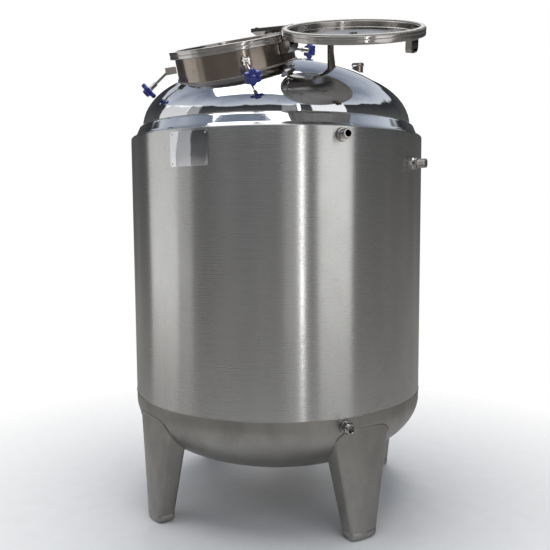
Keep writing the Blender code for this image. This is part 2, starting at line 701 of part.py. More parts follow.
def knob_mesh():
    """Star knob along Z with a hub on its outer face and a blind bore for the rod."""
    low = KNOB_START
    high = KNOB_START + KNOB_HEIGHT
    tip = high + KNOB_HUB_HEIGHT
    count = KNOB_LOBES * KNOB_POINTS * 2
    loops = [star(0.90, low), star(1.0, low + 0.003), star(1.0, high - 0.003), star(0.90, high),
             ring_points(KNOB_HUB_RADIUS, high + 0.001, count),
             ring_points(KNOB_HUB_RADIUS, tip - 0.002, count),
             ring_points(KNOB_HUB_RADIUS * 0.8, tip, count)]
    bore = cylinder(ROD_RADIUS + GAP, 0.0, ROD_LENGTH + 0.002, 12)
    return carve(loft(loops), [bore])


def add_swing_bolts(manway):
    """Four swing bolts, hanging open round the neck."""
    for name, (from_hinge, drop) in SWING_BOLTS.items():
        local = HINGE_LOCAL_ANGLE + from_hinge
        turn = radians(local - 90)
        pivot = polar(BOLT_PIVOT_RADIUS, local, BOLT_PIVOT_HEIGHT)
        station = frame_empty("bolt_station_" + name, manway, pivot, (0, 0, turn))
        place("bolt_lug_" + name, lug_mesh(), "machined", station)
        place("lug_pin_" + name, pin_mesh(), "machined", station)
        swing = frame_empty("bolt_swing_" + name, station, (0, 0, 0), (0, radians(90 + drop), 0))
        place("eye_bolt_" + name, eye_bolt_mesh(), "machined", swing)
        place("knob_sleeve_" + name, sleeve_mesh(), "machined", swing)
        place("star_knob_" + name, knob_mesh(), "knob", swing)


# ---------------------------------------------------------------- fittings

def socket_mesh(extra=None):
    """Threaded socket along Z; Z = 0 lies on the tank's axis."""
    root = FOAM_INNER_RADIUS + 0.004
    face = OUTER_RADIUS + SOCKET_REACH
    collar = OUTER_RADIUS + 0.002
    outline = [(SOCKET_BORE, root), (SOCKET_RADIUS, root), (SOCKET_RADIUS, collar), (SOCKET_COLLAR, collar)]
    shoulder = collar + SOCKET_COLLAR_LENGTH
    outline += [(SOCKET_COLLAR, shoulder - 0.002), (SOCKET_COLLAR - 0.002, shoulder),
                (SOCKET_RADIUS, shoulder)]
    outline += [(SOCKET_RADIUS, face - 0.002), (SOCKET_RADIUS - 0.002, face), (SOCKET_BORE, face)]
    mesh = turned(outline, SOCKET_SIDES)
    if extra:
        mesh = carve(mesh, extra, "UNION")
    return mesh


def hexagon(across, bottom, top):
    """Hexagonal ring with a bore that matches the sockets."""
    corner = across / 2 / cos(pi / 6)
    outer = [[Vector(point) for point in ring_points(corner, height, 6)] for height in (bottom, top)]
    solid = loft(outer)
    return carve(solid, [cylinder(SOCKET_RADIUS - 0.002, bottom - 0.01, top + 0.01, SOCKET_SIDES)])


def facet_radius(azimuth):
    """Radius of the many-sided cladding at an azimuth; its corners lie at multiples of one facet."""
    facet = 360 / RINGS
    from_middle = azimuth % facet - facet / 2
    return OUTER_RADIUS * cos(radians(facet / 2)) / cos(radians(from_middle))


def add_shell_fittings(tank):
    """Three sockets and the name plate."""
    for name, spot in (("upper_socket", UPPER_SOCKET), ("side_socket", SIDE_SOCKET)):
        azimuth, height = spot
        place(name, moved(socket_mesh(), aim(Vector((0, 0, height)), polar(1, azimuth))), "machined", tank)
    azimuth, height = LOWER_SOCKET
    start = OUTER_RADIUS + SOCKET_COLLAR_LENGTH + 0.003
    nut = hexagon(HEX_ACROSS, start, start + HEX_LENGTH)
    place("lower_socket", moved(socket_mesh([nut]), aim(Vector((0, 0, height)), polar(1, azimuth))),
          "machined", tank)

    facet = 360 / RINGS
    first = PLATE_AZIMUTH - PLATE_SPAN / 2
    last = PLATE_AZIMUTH + PLATE_SPAN / 2
    corners = [i * facet for i in range(-RINGS, RINGS) if first < i * facet < last]
    loops = []
    for spot in [first] + corners + [last]:
        near = facet_radius(spot) + GAP
        far = near + PLATE_SHEET
        top = PLATE_BOTTOM + PLATE_HEIGHT
        loops.append([polar(near, spot, PLATE_BOTTOM), polar(far, spot, PLATE_BOTTOM),
                      polar(far, spot, top), polar(near, spot, top)])
    place("name_plate", loft(loops), "mirror", tank)


def add_dome_fittings(tank):
    """Cleaning inlet with its spray ball, agitator seat and lid rest."""
    spot = Matrix.Translation((INLET_X, INLET_Y, 0))
    lip = 0.003
    pipe = turned([(INLET_BORE, 1.50), (INLET_RADIUS, 1.50), (INLET_RADIUS, INLET_TOP - 0.012),
                   (INLET_RADIUS + lip, INLET_TOP - 0.009), (INLET_RADIUS + lip, INLET_TOP),
                   (INLET_BORE, INLET_TOP)], 20)
    stub = carve(moved(pipe, spot), [dome_block()])
    place("cleaning_inlet", stub, "machined", tank)

    foot = dome_height(sqrt(INLET_X ** 2 + INLET_Y ** 2))
    stem_top = foot - 0.035
    centre = stem_top - BALL_DROP
    stem = INLET_BORE - RUNNING_GAP
    join = sqrt(BALL_RADIUS ** 2 - stem ** 2)
    outline = [(0, foot + 0.012), (stem, foot + 0.012), (stem, centre + join)]
    for i in range(1, 8):
        angle = acos(join / BALL_RADIUS) + (pi - acos(join / BALL_RADIUS)) * i / 8
        outline.append((BALL_RADIUS * sin(angle), centre + BALL_RADIUS * cos(angle)))
    outline.append((0, centre - BALL_RADIUS))
    place("spray_ball", moved(turned(outline, 16, closed=False), spot), "machined", tank)

    bore = SEAT_NECK_RADIUS - SEAT_NECK_SHEET
    neck = turned([(bore, 1.55), (SEAT_NECK_RADIUS, 1.55), (SEAT_NECK_RADIUS, SEAT_TOP - GAP),
                   (bore, SEAT_TOP - GAP)], 24)
    seat = moved(neck, Matrix.Translation((SEAT_X, SEAT_Y, 0)))
    place("agitator_seat", carve(seat, [dome_block()]), "brushed", tank)

    length, width, sheet = SEAT_PLATE
    plate = block((-length / 2, -width / 2, 0), (length / 2, width / 2, sheet))
    heads = []
    for side in (-1, 1):
        for end in (-1, 1):
            at = (end * (length / 2 - SEAT_BOLT_INSET), side * (width / 2 - SEAT_BOLT_INSET), 0)
            heads.append(moved(cylinder(SEAT_BOLT_RADIUS, 0.006, sheet + SEAT_BOLT_HEIGHT, 6),
                               Matrix.Translation(at)))
    cover = carve(plate, heads, "UNION")
    place("seat_cover_plate", cover, "brushed", tank, (SEAT_X, SEAT_Y, SEAT_TOP), (0, 0, radians(SEAT_TURN)))

    add_lid_rest(tank)


def add_lid_rest(tank):
    """Post under the open lid, braced by a gusset along the dome."""
    base = 1.50
    post = cylinder(REST_RADIUS, base, REST_TOP, 14)
    gusset = [(0, base), (REST_GUSSET, base), (0.006, REST_TOP - 0.020), (0, REST_TOP - 0.020)]
    fin = moved(prism(gusset, -0.003, 0.003), Matrix.Rotation(pi / 2, 4, "X"))
    stand = Matrix.Translation((REST_X, REST_Y, 0)) @ Matrix.Rotation(radians(REST_TURN), 4, "Z")
    rest = moved(carve(post, [fin], "UNION"), stand)
    place("lid_rest", carve(rest, [dome_block()]), "machined", tank)


def add_outlet(tank):
    """Drain pipe, butterfly valve and its lever, in a frame turned to the rear."""
    rear = frame_empty("outlet_axis", tank, (0, 0, 0), (0, 0, radians(OUTLET_AZIMUTH - 90)))
    path = [(0, OUTLET_TOP), (0, OUTLET_HEIGHT + OUTLET_BEND)]
    path += arc((OUTLET_BEND, OUTLET_HEIGHT + OUTLET_BEND), OUTLET_BEND, 180, 270, 6)[1:]
    path.append((OUTLET_RUN, OUTLET_HEIGHT))
    sides = 16
    skins = []
    for radius in (OUTLET_RADIUS, OUTLET_BORE):
        loops = []
        for i, (x, z) in enumerate(path):
            ahead = path[min(i + 1, len(path) - 1)]
            behind = path[max(i - 1, 0)]
            slope = atan2(ahead[1] - behind[1], ahead[0] - behind[0])
            loop = []
            for k in range(sides):
                angle = 2 * pi * k / sides
                lift = radius * cos(angle)
                loop.append((x - lift * sin(slope), radius * sin(angle), z + lift * cos(slope)))
            loops.append(loop)
        skins.append(loops)
    place("outlet_pipe", tube_between(*skins), "brushed", rear)

    # Valve body along X, bored through, with a stem hole on top
    start = OUTLET_RUN + GAP
    end = start + VALVE_LENGTH
    along = aim(Vector((0, 0, OUTLET_HEIGHT)), (1, 0, 0))
    middle = (start + end) / 2
    neck = OUTLET_RADIUS + 0.004
    body = [(OUTLET_BORE, start), (VALVE_RADIUS - 0.008, start), (VALVE_RADIUS - 0.008, start + 0.008),
            (neck, start + 0.010), (neck, middle - 0.012), (VALVE_RADIUS, middle - 0.009),
            (VALVE_RADIUS, middle + 0.009), (neck, middle + 0.012), (neck, end - 0.010),
            (VALVE_RADIUS - 0.008, end - 0.008), (VALVE_RADIUS - 0.008, end), (OUTLET_BORE, end)]
    housing = moved(turned(body, 16), along)
    stem_hole = moved(cylinder(VALVE_STEM_RADIUS + GAP, 0.0, 0.1, 12),
                      Matrix.Translation((middle, 0, OUTLET_HEIGHT)))
    place("valve_body", carve(housing, [stem_hole]), "machined", rear)

    axis = frame_empty("valve_axis", rear, (middle, 0, OUTLET_HEIGHT), (0, 0, 0))
    flap = moved(cylinder(OUTLET_BORE - 2 * RUNNING_GAP, -VALVE_DISC_SHEET / 2, VALVE_DISC_SHEET / 2, 20),
                 Matrix.Rotation(pi / 2, 4, "Y"))
    stem = cylinder(VALVE_STEM_RADIUS, -0.006, VALVE_STEM_RISE, 12)
    place("valve_disc", carve(flap, [stem], "UNION"), "machined", axis)

    grip = [(-0.012, -0.012), (0.012, -0.012), (0.009, HANDLE_LEVER - 0.02)]
    grip += arc((0, HANDLE_LEVER - 0.012), 0.010, 0, 180, 5)
    grip += [(-0.009, HANDLE_LEVER - 0.02), (-0.012, -0.012 + 0.001)]
    lever = prism(grip[:-1], VALVE_STEM_RISE - 0.016, VALVE_STEM_RISE - 0.006)
    bore = cylinder(VALVE_STEM_RADIUS + GAP, 0.0, 0.1, 12)
    place("valve_lever", carve(lever, [bore]), "black", axis)


# ---------------------------------------------------------------- build

def clear_scene():
    for obj in list(bpy.data.objects):
        bpy.data.objects.remove(obj)


def main():
    clear_scene()
    tank = frame_empty("tank_axis", None, (AXIS_X, AXIS_Y, 0), (0, 0, 0))
    add_shells(tank)
    add_legs(tank)
    point, rotation = manway_frame()
    manway = frame_empty("manway_axis", tank, point, rotation)
    add_manway(tank, manway)
    add_lid(manway)
    add_swing_bolts(manway)
    add_shell_fittings(tank)
    add_dome_fittings(tank)
    add_outlet(tank)


main()
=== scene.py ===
"""Looks of the bulk milk tank: polished and brushed stainless steel, blue star knobs.

Fine meshes stand for the faceted shells and fittings of the frame; the small hardware keeps
the frame's own shape with softened edges. Metres, +Z up, front towards -Y. An azimuth is in
degrees, 0 at the front, positive towards +X.
"""
import json
from math import atan2, cos, pi, radians, sin, sqrt

import bmesh
import bpy
from mathutils import Matrix, Vector

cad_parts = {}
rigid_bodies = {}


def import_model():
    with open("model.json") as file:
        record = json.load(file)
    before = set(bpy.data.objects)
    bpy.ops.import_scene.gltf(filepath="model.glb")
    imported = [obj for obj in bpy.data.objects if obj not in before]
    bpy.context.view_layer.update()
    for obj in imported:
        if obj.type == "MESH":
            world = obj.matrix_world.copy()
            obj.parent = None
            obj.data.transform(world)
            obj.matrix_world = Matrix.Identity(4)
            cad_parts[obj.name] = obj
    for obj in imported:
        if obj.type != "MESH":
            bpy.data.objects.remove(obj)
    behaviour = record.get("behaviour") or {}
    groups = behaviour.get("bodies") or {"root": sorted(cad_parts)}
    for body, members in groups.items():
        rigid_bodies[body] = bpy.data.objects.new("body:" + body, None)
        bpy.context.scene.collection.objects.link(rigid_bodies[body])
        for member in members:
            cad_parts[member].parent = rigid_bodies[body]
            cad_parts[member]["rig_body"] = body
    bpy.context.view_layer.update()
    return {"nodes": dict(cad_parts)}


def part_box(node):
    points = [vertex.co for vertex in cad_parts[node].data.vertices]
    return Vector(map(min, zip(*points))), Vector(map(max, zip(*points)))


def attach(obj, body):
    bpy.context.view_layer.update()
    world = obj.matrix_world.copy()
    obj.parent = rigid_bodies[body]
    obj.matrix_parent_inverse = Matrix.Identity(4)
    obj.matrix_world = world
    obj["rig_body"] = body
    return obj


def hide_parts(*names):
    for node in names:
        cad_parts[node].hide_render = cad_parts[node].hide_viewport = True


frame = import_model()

NODES = frame["nodes"]

# The tank's axis stands in the middle of its cladding
shell_low, shell_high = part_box("outer_shell")
AXIS = Vector(((shell_low.x + shell_high.x) / 2, (shell_low.y + shell_high.y) / 2, 0))

# Shells
OUTER_RADIUS = shell_high.x - AXIS.x
VESSEL_RADIUS = 0.515
HEAD_SHEET = 0.004
CLADDING_BOTTOM = shell_low.z
CLADDING_TOP = shell_high.z
DOME_BASE = 1.4528
DOME_HEIGHT = 0.257
DISH_BASE = 0.416
DISH_DEPTH = 0.257
SHEET = 0.003
EDGE_ROLL = 0.009
RINGS = 192
BEAD_POINTS = 720
DRAIN_CUT = 0.0195
SEAT_CUT = 0.051
INLET_CUT = 0.0172
CUT_GAP = 0.0005

# Legs
LEG_AZIMUTHS = {"front_left": -57.1, "front_right": 32.9, "rear_right": 122.9, "rear_left": 212.9}
LEG_OUTER_RADIUS = 0.5585
LEG_TOP = 0.425
LEG_TOP_SIZE = (0.448, 0.251)
LEG_BOTTOM_SIZE = (0.489, 0.114)
LEG_FLAT_SHARE = 0.70
LEG_CORNER = 0.010
LEG_BEAD = 0.0035
LEG_LEVELS = 12
FOOT_HEIGHT = 0.030
FOOT_ROUND = 0.014
FOOT_EDGE = 0.0012

# Manway, with its own frame on the dome
MANWAY_AZIMUTH = -31.3
MANWAY_OFFSET = 0.275
NECK_RADIUS = 0.2127
NECK_BORE = 0.2087
NECK_TOP = 0.040
NECK_LEVELS = 10
NECK_BEAD = 0.0042
RIM_EDGE = 0.0012
RIM_RADIUS = 0.228
LID_SEAT = 0.066
LID_BOTTOM = 0.0706
LID_TOP = 0.0946
LID_RADIUS = 0.226
LID_BAND_WIDTH = 0.022
LID_SHEET = 0.004
LID_HOLE = 0.0063
SEAL_INNER_RADIUS = 0.2095
SEAL_OUTER_RADIUS = 0.2225
SEAL_GAP = 0.0004
LID_OPEN_ANGLE = 189.0
HINGE_LOCAL_ANGLE = 86.3
HINGE_RADIUS = 0.242
HINGE_HEIGHT = 0.080

# Swing bolts: angle from the hinge line, drop below the rim's plane
SWING_BOLTS = {"left": (-137.0, 33.0), "front": (-45.0, 28.0),
               "right": (70.0, 15.0), "rear": (155.0, 6.0)}
BOLT_PIVOT_HEIGHT = 0.005
ROD_RADIUS = 0.0045
SLEEVE_START = 0.062
SLEEVE_RADIUS = 0.0085
ROD_GAP = 0.0003
KNOB_GAP = 0.0004
KNOB_START = 0.0903
KNOB_HEIGHT = 0.016
KNOB_RADIUS = 0.031
KNOB_VALLEY = 0.0235
KNOB_LOBES = 6

# Sockets: azimuth and height
SOCKETS = {"upper_socket": (22.0, 1.378), "side_socket": (61.0, 1.300),
           "lower_socket": (23.5, 0.4175)}
SOCKET_REACH = 0.046
SOCKET_RADIUS = 0.0166
SOCKET_BORE = 0.0105
SOCKET_COLLAR = 0.0215
SOCKET_LENGTH = 0.060
NUT_START = 0.015
NUT_ACROSS_FLATS = 0.040
PLATE_AZIMUTH = -31.0
PLATE_SPAN = 16.0
PLATE_BOTTOM = 1.283
PLATE_HEIGHT = 0.115
PLATE_CORNER = 0.006
PLATE_SHEET = 0.0016
PLATE_EDGE = 0.0013
RIVET_INSET = 0.009
RIVET_TURN = 0.95

# Camera
CAMERA_DISTANCE = 2.80
CAMERA_HEIGHT = 1.142
SENSOR_MILLIMETRES = 36.0
LENS_MILLIMETRES = 45.91


# ---------------------------------------------------------------- places

def polar(radius, azimuth, height=0.0):
    """Point at a radius and azimuth."""
    angle = radians(azimuth)
    return Vector((radius * sin(angle), -radius * cos(angle), height))


def dome_height(offset):
    """Height of the dome's skin at a distance from the axis."""
    return DOME_BASE + DOME_HEIGHT * sqrt(max(0.0, 1 - (offset / VESSEL_RADIUS) ** 2))


def dish_height(offset):
    """Height of the bottom head's skin at a distance from the axis."""
    return DISH_BASE - DISH_DEPTH * sqrt(max(0.0, 1 - (offset / OUTER_RADIUS) ** 2))


def manway_matrix():
    """The manway's frame: its Z leaves the dome at a right angle."""
    point = polar(MANWAY_OFFSET, MANWAY_AZIMUTH, dome_height(MANWAY_OFFSET))
    rise = (point.z - DOME_BASE) / DOME_HEIGHT ** 2
    tilt = atan2(MANWAY_OFFSET / VESSEL_RADIUS ** 2, rise)
    return (Matrix.Translation(AXIS + point) @ Matrix.Rotation(radians(MANWAY_AZIMUTH), 4, "Z")
            @ Matrix.Rotation(tilt, 4, "X"))


TANK = Matrix.Translation(AXIS)
MANWAY = manway_matrix()


def station(local_angle, radius, height):
    """A place round the manway with +X pointing outwards."""
    return (MANWAY @ Matrix.Translation(polar(radius, local_angle, height))
            @ Matrix.Rotation(radians(local_angle - 90), 4, "Z"))


def aim(point, direction):
    """Matrix that puts Z along a direction, at a point."""
    turn = Vector(direction).to_track_quat("Z", "Y").to_matrix().to_4x4()
    return Matrix.Translation(point) @ turn


def socket_matrix(name):
    """A socket's frame: Z leaves the tank through its axis."""
    azimuth, height = SOCKETS[name]
    return TANK @ aim(Vector((0, 0, height)), polar(1, azimuth))


def upright(node):
    """Frame on the floor under the middle of a frame node."""
    low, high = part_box(node)
    return Matrix.Translation(((low.x + high.x) / 2, (low.y + high.y) / 2, 0))


LID = (station(HINGE_LOCAL_ANGLE, HINGE_RADIUS, HINGE_HEIGHT)
       @ Matrix.Rotation(radians(LID_OPEN_ANGLE), 4, "Y")
       @ Matrix.Translation((-HINGE_RADIUS, 0, -HINGE_HEIGHT)))


# ---------------------------------------------------------------- materials

class Nodes:
    """A short way to write a node tree; turn lines the texture up with a tilted piece."""

    def __init__(self, material, turn=None):
        self.tree = material.node_tree
        self.shader = self.tree.nodes["Principled BSDF"]
        self.place = self.add("ShaderNodeTexCoord").outputs["Object"]
        if turn is not None:
            mapping = self.add("ShaderNodeMapping")
            mapping.inputs["Rotation"].default_value = turn.to_3x3().inverted().to_euler()
            self.link(self.place, mapping.inputs["Vector"])
            self.place = mapping.outputs[0]

    def add(self, kind, **settings):
        node = self.tree.nodes.new(kind)
        for key, value in settings.items():
            setattr(node, key, value)
        return node

    def link(self, start, end):
        self.tree.links.new(start, end)

    def noise(self, stretch, detail=4.0, roughness=0.6):
        """Noise whose grain is set apart for X, Y and Z."""
        mapping = self.add("ShaderNodeMapping")
        mapping.inputs["Scale"].default_value = stretch
        self.link(self.place, mapping.inputs["Vector"])
        noise = self.add("ShaderNodeTexNoise")
        noise.inputs["Scale"].default_value = 1.0
        noise.inputs["Detail"].default_value = detail
        noise.inputs["Roughness"].default_value = roughness
        self.link(mapping.outputs[0], noise.inputs["Vector"])
        return noise.outputs["Fac"]

    def remap(self, value, low, high, start=0.3, end=0.7):
        node = self.add("ShaderNodeMapRange")
        node.inputs["From Min"].default_value = start
        node.inputs["From Max"].default_value = end
        node.inputs["To Min"].default_value = low
        node.inputs["To Max"].default_value = high
        self.link(value, node.inputs["Value"])
        return node.outputs[0]

    def mix(self, factor, first, second):
        """Colour between two colours or sockets."""
        node = self.add("ShaderNodeMix", data_type="RGBA")
        self.link(factor, node.inputs[0])
        for socket, value in ((node.inputs[6], first), (node.inputs[7], second)):
            if isinstance(value, tuple):
                socket.default_value = (*value, 1.0)
            else:
                self.link(value, socket)
        return node.outputs[2]

    def sum(self, first, second):
        node = self.add("ShaderNodeMath", operation="ADD")
        self.link(first, node.inputs[0])
        self.link(second, node.inputs[1])
        return node.outputs[0]

    def bump(self, height, distance, before=None):
        node = self.add("ShaderNodeBump")
        node.inputs["Strength"].default_value = 1.0
        node.inputs["Distance"].default_value = distance
        self.link(height, node.inputs["Height"])
        if before is not None:
            self.link(before, node.inputs["Normal"])
        return node.outputs[0]


def material(name, metallic, turn=None):
    new = bpy.data.materials.new(name)
    new.use_nodes = True
    nodes = Nodes(new, turn)
    nodes.shader.inputs["Metallic"].default_value = metallic
    return new, nodes


def steel(name, clean, worn, roughness, grain, scratch=0.0, wave=0.0, wave_size=(3, 3, 3),
          anisotropy=0.0, stain=(5, 5, 2.5), turn=None):
    """Stainless steel: stretched grain in gloss and bump, slow stains in colour, and bent sheet.

    The sizes of grain, wave_size and stain are cycles to the metre along X, Y and Z.
    """
    new, nodes = material(name, 1.0, turn)
    shader = nodes.shader
    fine = nodes.noise(grain, 5.0, 0.7)
    slow = nodes.noise(stain, 4.0, 0.6)
    spots = nodes.noise((70, 70, 70), 3.0, 0.5)
    low, high = roughness
    streaks = nodes.remap(fine, low, high)
    smears = nodes.remap(slow, 0.0, (high - low) * 0.8, 0.45, 0.75)
    nodes.link(nodes.sum(streaks, smears), shader.inputs["Roughness"])
    tone = nodes.mix(nodes.remap(slow, 0.0, 1.0), clean, worn)
    dull = tuple(channel * 0.8 for channel in worn)
    spotted = nodes.mix(nodes.remap(spots, 0.0, 0.5, 0.62, 0.8), tone, dull)
    nodes.link(spotted, shader.inputs["Base Color"])
    normal = None
    if wave:
        normal = nodes.bump(nodes.noise(wave_size, 2.0, 0.4), wave)
    if scratch:
        normal = nodes.bump(fine, scratch, normal)
    if normal is not None:
        nodes.link(normal, shader.inputs["Normal"])
    if anisotropy:
        shader.inputs["Anisotropic"].default_value = anisotropy
        shader.inputs["Anisotropic Rotation"].default_value = 0.25
        tangent = nodes.add("ShaderNodeTangent", direction_type="RADIAL", axis="Z")
        nodes.link(tangent.outputs[0], shader.inputs["Tangent"])
    return new


def plastic(name, colour, faded, roughness, grain, bump, coat=0.0):
    """Moulded plastic or rubber with handling marks."""
    new, nodes = material(name, 0.0)
    marks = nodes.noise((40, 40, 40), 4.0, 0.6)
    fine = nodes.noise(grain, 3.0, 0.6)
    nodes.link(nodes.remap(marks, *roughness), nodes.shader.inputs["Roughness"])
    tone = nodes.mix(nodes.remap(marks, 0.0, 1.0), colour, faded)
    nodes.link(tone, nodes.shader.inputs["Base Color"])
    nodes.link(nodes.bump(fine, bump), nodes.shader.inputs["Normal"])
    nodes.shader.inputs["Coat Weight"].default_value = coat
    return new


MIRROR = steel("mirror_steel", (0.78, 0.79, 0.81), (0.70, 0.71, 0.73), (0.025, 0.07),
               (60, 60, 300), scratch=0.000003, wave=0.0016, wave_size=(3.2, 3.2, 5))
PLATE = steel("plate_steel", (0.74, 0.75, 0.77), (0.66, 0.67, 0.70), (0.03, 0.08),
              (60, 60, 400), scratch=0.000003, wave=0.0006, wave_size=(14, 14, 20))
CLADDING = steel("cladding_steel", (0.58, 0.58, 0.57), (0.50, 0.495, 0.48), (0.23, 0.28),
                 (2.5, 2.5, 1400), scratch=0.000003, wave=0.0012, wave_size=(5, 5, 0.45),
                 anisotropy=0.92)
BRUSHED = steel("brushed_steel", (0.30, 0.265, 0.235), (0.16, 0.13, 0.11), (0.10, 0.20),
                (8, 8, 700), scratch=0.00001, wave=0.0012, wave_size=(9, 9, 4), anisotropy=0.5)
RIM_STEEL = steel("rim_steel", (0.50, 0.49, 0.48), (0.32, 0.30, 0.28), (0.09, 0.19),
                  (10, 10, 700), scratch=0.00001, wave=0.0004, wave_size=(8, 8, 8), anisotropy=0.4)
LID_STEEL = steel("lid_steel", (0.50, 0.49, 0.48), (0.32, 0.30, 0.28), (0.09, 0.19),
                  (10, 10, 700), scratch=0.00001, wave=0.0004, wave_size=(8, 8, 8), turn=LID)
MATTE = steel("matte_steel", (0.39, 0.38, 0.355), (0.28, 0.265, 0.245), (0.33, 0.45),
              (260, 260, 260), scratch=0.00012, stain=(7, 7, 4))
WELD = steel("weld_steel", (0.46, 0.44, 0.42), (0.30, 0.25, 0.21), (0.24, 0.42),
             (500, 500, 500), scratch=0.0001)
MACHINED = steel("machined_steel", (0.50, 0.48, 0.46), (0.34, 0.315, 0.29), (0.10, 0.20),
                 (90, 90, 1500), scratch=0.00002)
BLUE = plastic("knob_blue", (0.008, 0.018, 0.21), (0.015, 0.030, 0.27), (0.16, 0.30),
               (300, 300, 300), 0.00003, coat=0.4)
BLACK = plastic("black_plastic", (0.012, 0.012, 0.014), (0.03, 0.03, 0.032), (0.35, 0.55),
                (500, 500, 500), 0.00008)
RUBBER = plastic("gasket_rubber", (0.62, 0.62, 0.58), (0.48, 0.47, 0.42), (0.5, 0.75),
                 (300, 300, 300), 0.0001)
FOAM = plastic("insulation_foam", (0.72, 0.62, 0.36), (0.58, 0.48, 0.26), (0.8, 0.95),
               (160, 160, 160), 0.001)


# ---------------------------------------------------------------- meshes

def piece(name, bm, matrix, look, body, nodes, sharp=35):
    """One visual piece in its own frame, riding on a body and standing for CAD nodes."""
    bmesh.ops.remove_doubles(bm, verts=bm.verts, dist=0.000005)
    bmesh.ops.recalc_face_normals(bm, faces=bm.faces)
    mesh = bpy.data.meshes.new(name)
    bm.to_mesh(mesh)
    bm.free()
    mesh.shade_smooth()
    mesh.set_sharp_from_angle(angle=radians(sharp))
    mesh.materials.append(look)
    obj = bpy.data.objects.new(name, mesh)
    bpy.context.scene.collection.objects.link(obj)
    obj.matrix_world = matrix
    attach(obj, body)
    if nodes:
        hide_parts(*nodes)
    return obj


def turned(outline, closed=False, segments=RINGS):
    """A new mesh turned from an outline."""
    bm = bmesh.new()
    add_turned(bm, outline, closed, segments)
    return bm


def add_turned(bm, outline, closed=False, segments=RINGS, matrix=Matrix()):
    """Revolve an outline of (radius, height) points about Z; a closed outline is a ring."""
    rings = []
    for radius, height in outline:
        count = 1 if radius < 1e-6 else segments
        rings.append([bm.verts.new(matrix @ Vector((radius * cos(2 * pi * i / segments),
                                                    radius * sin(2 * pi * i / segments), height)))
                      for i in range(count)])
    pairs = list(zip(rings, rings[1:]))
    if closed:
        pairs.append((rings[-1], rings[0]))
    for first, second in pairs:
        if len(first) == 1 and len(second) == 1:
            continue
        for i in range(segments):
            j = (i + 1) % segments
            corners = [first[i % len(first)], first[j % len(first)], second[j % len(second)],
                       second[i % len(second)]]
            bm.faces.new(list(dict.fromkeys(corners)))


def add_loft(bm, loops, cap_start=False, cap_end=False, ring=False):
    """Skin through closed loops of equal length."""
    rows = [[bm.verts.new(point) for point in loop] for loop in loops]
    pairs = list(zip(rows, rows[1:]))
    if ring:
        pairs.append((rows[-1], rows[0]))
    count = len(rows[0])
    for first, second in pairs:
        for i in range(count):
            j = (i + 1) % count
            bm.faces.new((first[i], first[j], second[j], second[i]))
    if cap_start:
        bm.faces.new(list(reversed(rows[0])))
    if cap_end:
        bm.faces.new(rows[-1])


def bead(bm, path, radius, ripple=0.12, pitch=0.006, sides=10, flatten=0.6):
    """Weld bead along a closed path, with the ripples of its passes."""
    loops = []
    count = len(path)
    run = 0.0
    for i, point in enumerate(path):
        ahead = (path[(i + 1) % count] - path[i - 1]).normalized()
        side = ahead.cross(Vector((0, 0, 1))).normalized()
        lift = side.cross(ahead).normalized()
        run += (point - path[i - 1]).length
        size = radius * (1 + ripple * sin(2 * pi * run / pitch))
        loop = []
        for k in range(sides):
            angle = 2 * pi * k / sides
            loop.append(point + side * cos(angle) * size + lift * sin(angle) * size * flatten)
        loops.append(loop)
    add_loft(bm, loops, ring=True)


def rounded(points, radius, steps=4):
    """An open outline with its inner corners rounded."""
    result = [Vector(points[0])]
    for before, corner, after in zip(points, points[1:], points[2:]):
        corner = Vector(corner)
        start = Vector(before) - corner
        end = Vector(after) - corner
        reach = min(radius, start.length * 0.49, end.length * 0.49)
        first = corner + start.normalized() * reach
        last = corner + end.normalized() * reach
        for i in range(steps + 1):
            t = i / steps
            result.append(first * (1 - t) ** 2 + corner * 2 * t * (1 - t) + last * t ** 2)
    result.append(Vector(points[-1]))
    return [(max(0.0, point.x), point.y) for point in result]


def softened(node, look, width=0.001, segments=2):
    """The frame's own shape with its edges eased."""
    source = NODES[node]
    obj = bpy.data.objects.new("look_" + node, source.data.copy())
    bpy.context.scene.collection.objects.link(obj)
    obj.data.materials.clear()
    obj.data.materials.append(look)
    bevel = obj.modifiers.new("ease", "BEVEL")
    bevel.width = width
    bevel.segments = segments
    bevel.limit_method = "ANGLE"
    bevel.angle_limit = radians(35)
    bevel.harden_normals = False
    obj.data.shade_smooth()
    obj.data.set_sharp_from_angle(angle=radians(40))
    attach(obj, source["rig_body"])
    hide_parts(node)
    return obj


def cut(obj, tools):
    """Cut the tools' meshes from a piece."""
    for bm, matrix in tools:
        mesh = bpy.data.meshes.new("tool")
        bmesh.ops.recalc_face_normals(bm, faces=bm.faces)
        bm.to_mesh(mesh)
        bm.free()
        tool = bpy.data.objects.new("tool", mesh)
        bpy.context.scene.collection.objects.link(tool)
        tool.matrix_world = matrix
        modifier = obj.modifiers.new("cut", "BOOLEAN")
        modifier.solver = "EXACT"
        modifier.object = tool
    bpy.context.view_layer.update()
    depsgraph = bpy.context.evaluated_depsgraph_get()
    mesh = bpy.data.meshes.new_from_object(obj.evaluated_get(depsgraph))
    tools = [modifier.object for modifier in obj.modifiers]
    obj.modifiers.clear()
    obj.data = mesh
    for tool in tools:
        bpy.data.objects.remove(tool)


# ---------------------------------------------------------------- shells

def head_arc(radius, height, base, sign, steps=44):
    """Outline of a dished head from its edge to its pole; sign is 1 for a dome, -1 for a dish."""
    points = []
    for i in range(steps + 1):
        angle = pi / 2 * i / steps
        points.append((radius * cos(angle), base + sign * height * sin(angle)))
    points[-1] = (0.0, points[-1][1])
    return points


def plug(radius, bottom, top, segments=96):
    """Solid cylinder that cuts a bore."""
    bm = bmesh.new()
    add_turned(bm, [(0, bottom), (radius, bottom), (radius, top), (0, top)], segments=segments)
    return bm


def socket_plug(name):
    """Cutter for a socket's hole in the shell, and its place."""
    return plug(SOCKET_RADIUS + CUT_GAP, 0.5, 0.6, 32), socket_matrix(name)


